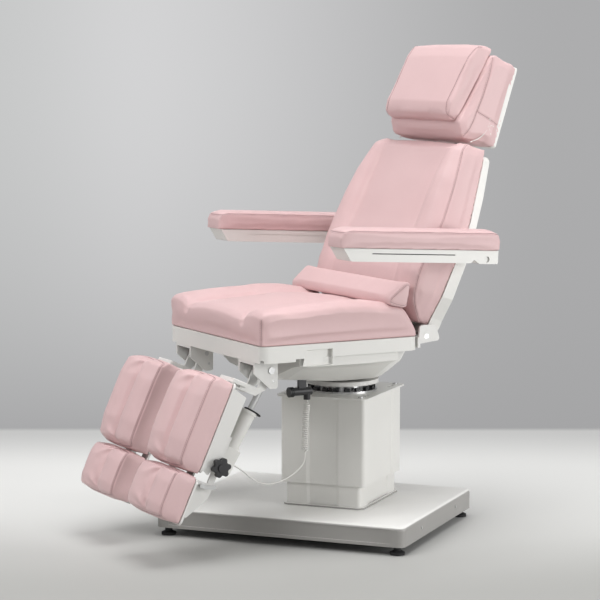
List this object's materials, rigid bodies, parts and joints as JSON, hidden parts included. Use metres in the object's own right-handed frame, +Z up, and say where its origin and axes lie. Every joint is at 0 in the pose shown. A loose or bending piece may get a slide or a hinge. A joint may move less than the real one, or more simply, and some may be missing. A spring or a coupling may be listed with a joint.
{
  "type": "podiatry chair",
  "caption": "Podiatry treatment chair on a lifting column with a swivel seat, reclining back, sliding headrest, folding armrests and split leg rests.",
  "frame": {"origin": "on the floor, at the centre of the chair's box without its free lead", "axes": "+Z up, the sitter faces -Y, +X towards the sitter's left"},
  "size_m": [0.991, 1.2464, 1.4558],
  "materials": {
    "leatherette": "soft satin, fine grain",
    "white_shell": "satin moulded plastic",
    "white_paint": "satin powder coat",
    "steel": "brushed",
    "dark_steel": "dark satin",
    "black_plastic": "matt",
    "black_rubber": "matt",
    "cord_white": "satin"
  },
  "bodies": {
    "base": {"base_cover": "white_shell", "base_chassis": "dark_steel", "levelling_feet": "black_rubber", "base_cover_screws": "steel", "lower_column_shell": "white_shell", "lift_guide": "steel", "lift_motor": "dark_steel"},
    "lift": {"upper_column_shell": "white_shell", "column_top_plate": "white_paint", "top_plate_screws": "steel", "lift_mast": "steel", "lift_push_rod": "steel", "swivel_ring_lower": "steel", "swivel_blocks": "black_plastic"},
    "seat": {"swivel_ring_upper": "dark_steel", "seat_frame": "dark_steel", "seat_tray": "white_shell", "seat_pan": "white_shell", "seat_cushion": "leatherette", "lumbar_cushion": "leatherette", "leg_brackets": "white_paint", "socket_liners": "black_plastic", "hinge_pins": "steel", "back_hinge_brackets": "white_paint", "control_box": "black_plastic", "cable_connector": "black_plastic", "cable_strain_relief": "black_plastic", "leg_cord_coil": "cord_white", "leg_cord_lead": "cord_white"},
    "back": {"back_shell": "white_shell", "back_frame": "white_paint", "back_cushion": "leatherette"},
    "back_ram_tube": {"back_drive_tube": "white_shell"},
    "back_ram_rod": {"back_drive_rod": "steel"},
    "head": {"head_block": "leatherette", "head_shell": "white_shell", "head_pillow": "leatherette", "head_rods": "steel", "pillow_elastic": "cord_white"},
    "arm_left": {"arm_shell_left": "white_shell", "arm_pad_left": "leatherette"},
    "leg_left": {"leg_frame_left": "white_paint", "calf_cushion_left": "leatherette"},
    "leg_ram_tube_left": {"leg_drive_tube_left": "white_shell"},
    "leg_ram_rod_left": {"leg_drive_rod_left": "dark_steel"},
    "foot_left": {"foot_frame_left": "white_paint", "foot_cushion_left": "leatherette"},
    "knob_left": {"foot_knob_left": "black_plastic"},
    "lever_left": {"foot_lever_left": "steel"},
    "arm_right": {"arm_shell_right": "white_shell", "arm_pad_right": "leatherette"},
    "leg_right": {"leg_frame_right": "white_paint", "calf_cushion_right": "leatherette"},
    "leg_ram_tube_right": {"leg_drive_tube_right": "white_shell"},
    "leg_ram_rod_right": {"leg_drive_rod_right": "dark_steel"},
    "foot_right": {"foot_frame_right": "white_paint", "foot_cushion_right": "leatherette"},
    "knob_right": {"foot_knob_right": "black_plastic"},
    "lever_right": {"foot_lever_right": "steel"}
  },
  "joints": [
    {"name": "column_lift", "type": "slide", "parent": "base", "child": "lift", "axis": [0, 0, 1], "range_m": [-0.06, 0.18]},
    {"name": "seat_swivel", "type": "hinge", "parent": "lift", "child": "seat", "pos_m": [0.03444, 0.12655, 0.42], "axis": [0, 0, 1], "range_deg": [-170, 70]},
    {"name": "back_recline", "type": "hinge", "parent": "seat", "child": "back", "pos_m": [0.03444, 0.24455, 0.6065], "axis": [-1, 0, 0], "range_deg": [0, 60]},
    {"name": "headrest_height", "type": "slide", "parent": "back", "child": "head", "axis": [0, 0.309, 0.9511], "range_m": [0, 0.08]},
    {"name": "back_ram_tilt", "type": "hinge", "parent": "seat", "child": "back_ram_tube", "pos_m": [0.11844, -0.10545, 0.539], "axis": [-1, 0, 0], "range_deg": [0, 0.504]},
    {"name": "back_ram_stroke", "type": "slide", "parent": "back_ram_tube", "child": "back_ram_rod", "axis": [0, 0.9978, 0.0663], "range_m": [-0.05256, 0]},
    {"name": "arm_fold_left", "type": "hinge", "parent": "back", "child": "arm_left", "pos_m": [0.41644, 0.36992, 0.83702], "axis": [-1, 0, 0], "range_deg": [0, 80]},
    {"name": "leg_raise_left", "type": "hinge", "parent": "seat", "child": "leg_left", "pos_m": [0.24144, -0.25045, 0.534], "axis": [-1, 0, 0], "range_deg": [0, 65], "deforming": ["leg_cord_coil", "leg_cord_lead"]},
    {"name": "leg_ram_tilt_left", "type": "hinge", "parent": "leg_left", "child": "leg_ram_tube_left", "pos_m": [0.24144, -0.3882, 0.26052], "axis": [-1, 0, 0], "range_deg": [0, 2.18]},
    {"name": "leg_ram_stroke_left", "type": "slide", "parent": "leg_ram_tube_left", "child": "leg_ram_rod_left", "axis": [0, 0.5133, 0.8582], "range_m": [0, 0.03383]},
    {"name": "foot_slide_left", "type": "slide", "parent": "leg_left", "child": "foot_left", "axis": [0, -0.4163, -0.9092], "range_m": [0, 0.11]},
    {"name": "knob_turn_left", "type": "hinge", "parent": "leg_left", "child": "knob_left", "pos_m": [0.31294, -0.42951, 0.27503], "axis": [1, 0, 0], "range_deg": [0, 180]},
    {"name": "lever_turn_left", "type": "hinge", "parent": "foot_left", "child": "lever_left", "pos_m": [0.31294, -0.48595, 0.22718], "axis": [1, 0, 0], "range_deg": [0, 40]},
    {"name": "arm_fold_right", "type": "hinge", "parent": "back", "child": "arm_right", "pos_m": [-0.34756, 0.36992, 0.83702], "axis": [-1, 0, 0], "range_deg": [0, 80]},
    {"name": "leg_raise_right", "type": "hinge", "parent": "seat", "child": "leg_right", "pos_m": [-0.17256, -0.25045, 0.534], "axis": [-1, 0, 0], "range_deg": [0, 65]},
    {"name": "leg_ram_tilt_right", "type": "hinge", "parent": "leg_right", "child": "leg_ram_tube_right", "pos_m": [-0.17256, -0.3882, 0.26052], "axis": [-1, 0, 0], "range_deg": [0, 2.18]},
    {"name": "leg_ram_stroke_right", "type": "slide", "parent": "leg_ram_tube_right", "child": "leg_ram_rod_right", "axis": [0, 0.5133, 0.8582], "range_m": [0, 0.03383]},
    {"name": "foot_slide_right", "type": "slide", "parent": "leg_right", "child": "foot_right", "axis": [0, -0.4163, -0.9092], "range_m": [0, 0.11]},
    {"name": "knob_turn_right", "type": "hinge", "parent": "leg_right", "child": "knob_right", "pos_m": [-0.24406, -0.42951, 0.27503], "axis": [-1, 0, 0], "range_deg": [0, 180]},
    {"name": "lever_turn_right", "type": "hinge", "parent": "foot_right", "child": "lever_right", "pos_m": [-0.24406, -0.48595, 0.22718], "axis": [1, 0, 0], "range_deg": [0, 40]}
  ],
  "couplings": [
    {"joint": "back_ram_tilt", "follows": "back_recline", "ratio": 0.008},
    {"joint": "back_ram_stroke", "follows": "back_recline", "m_per_rad": -0.0478},
    {"joint": "leg_ram_tilt_left", "follows": "leg_raise_left", "ratio": 0.032},
    {"joint": "leg_ram_stroke_left", "follows": "leg_raise_left", "m_per_rad": 0.0284},
    {"joint": "leg_ram_tilt_right", "follows": "leg_raise_right", "ratio": 0.032},
    {"joint": "leg_ram_stroke_right", "follows": "leg_raise_right", "m_per_rad": 0.0284}
  ]
}
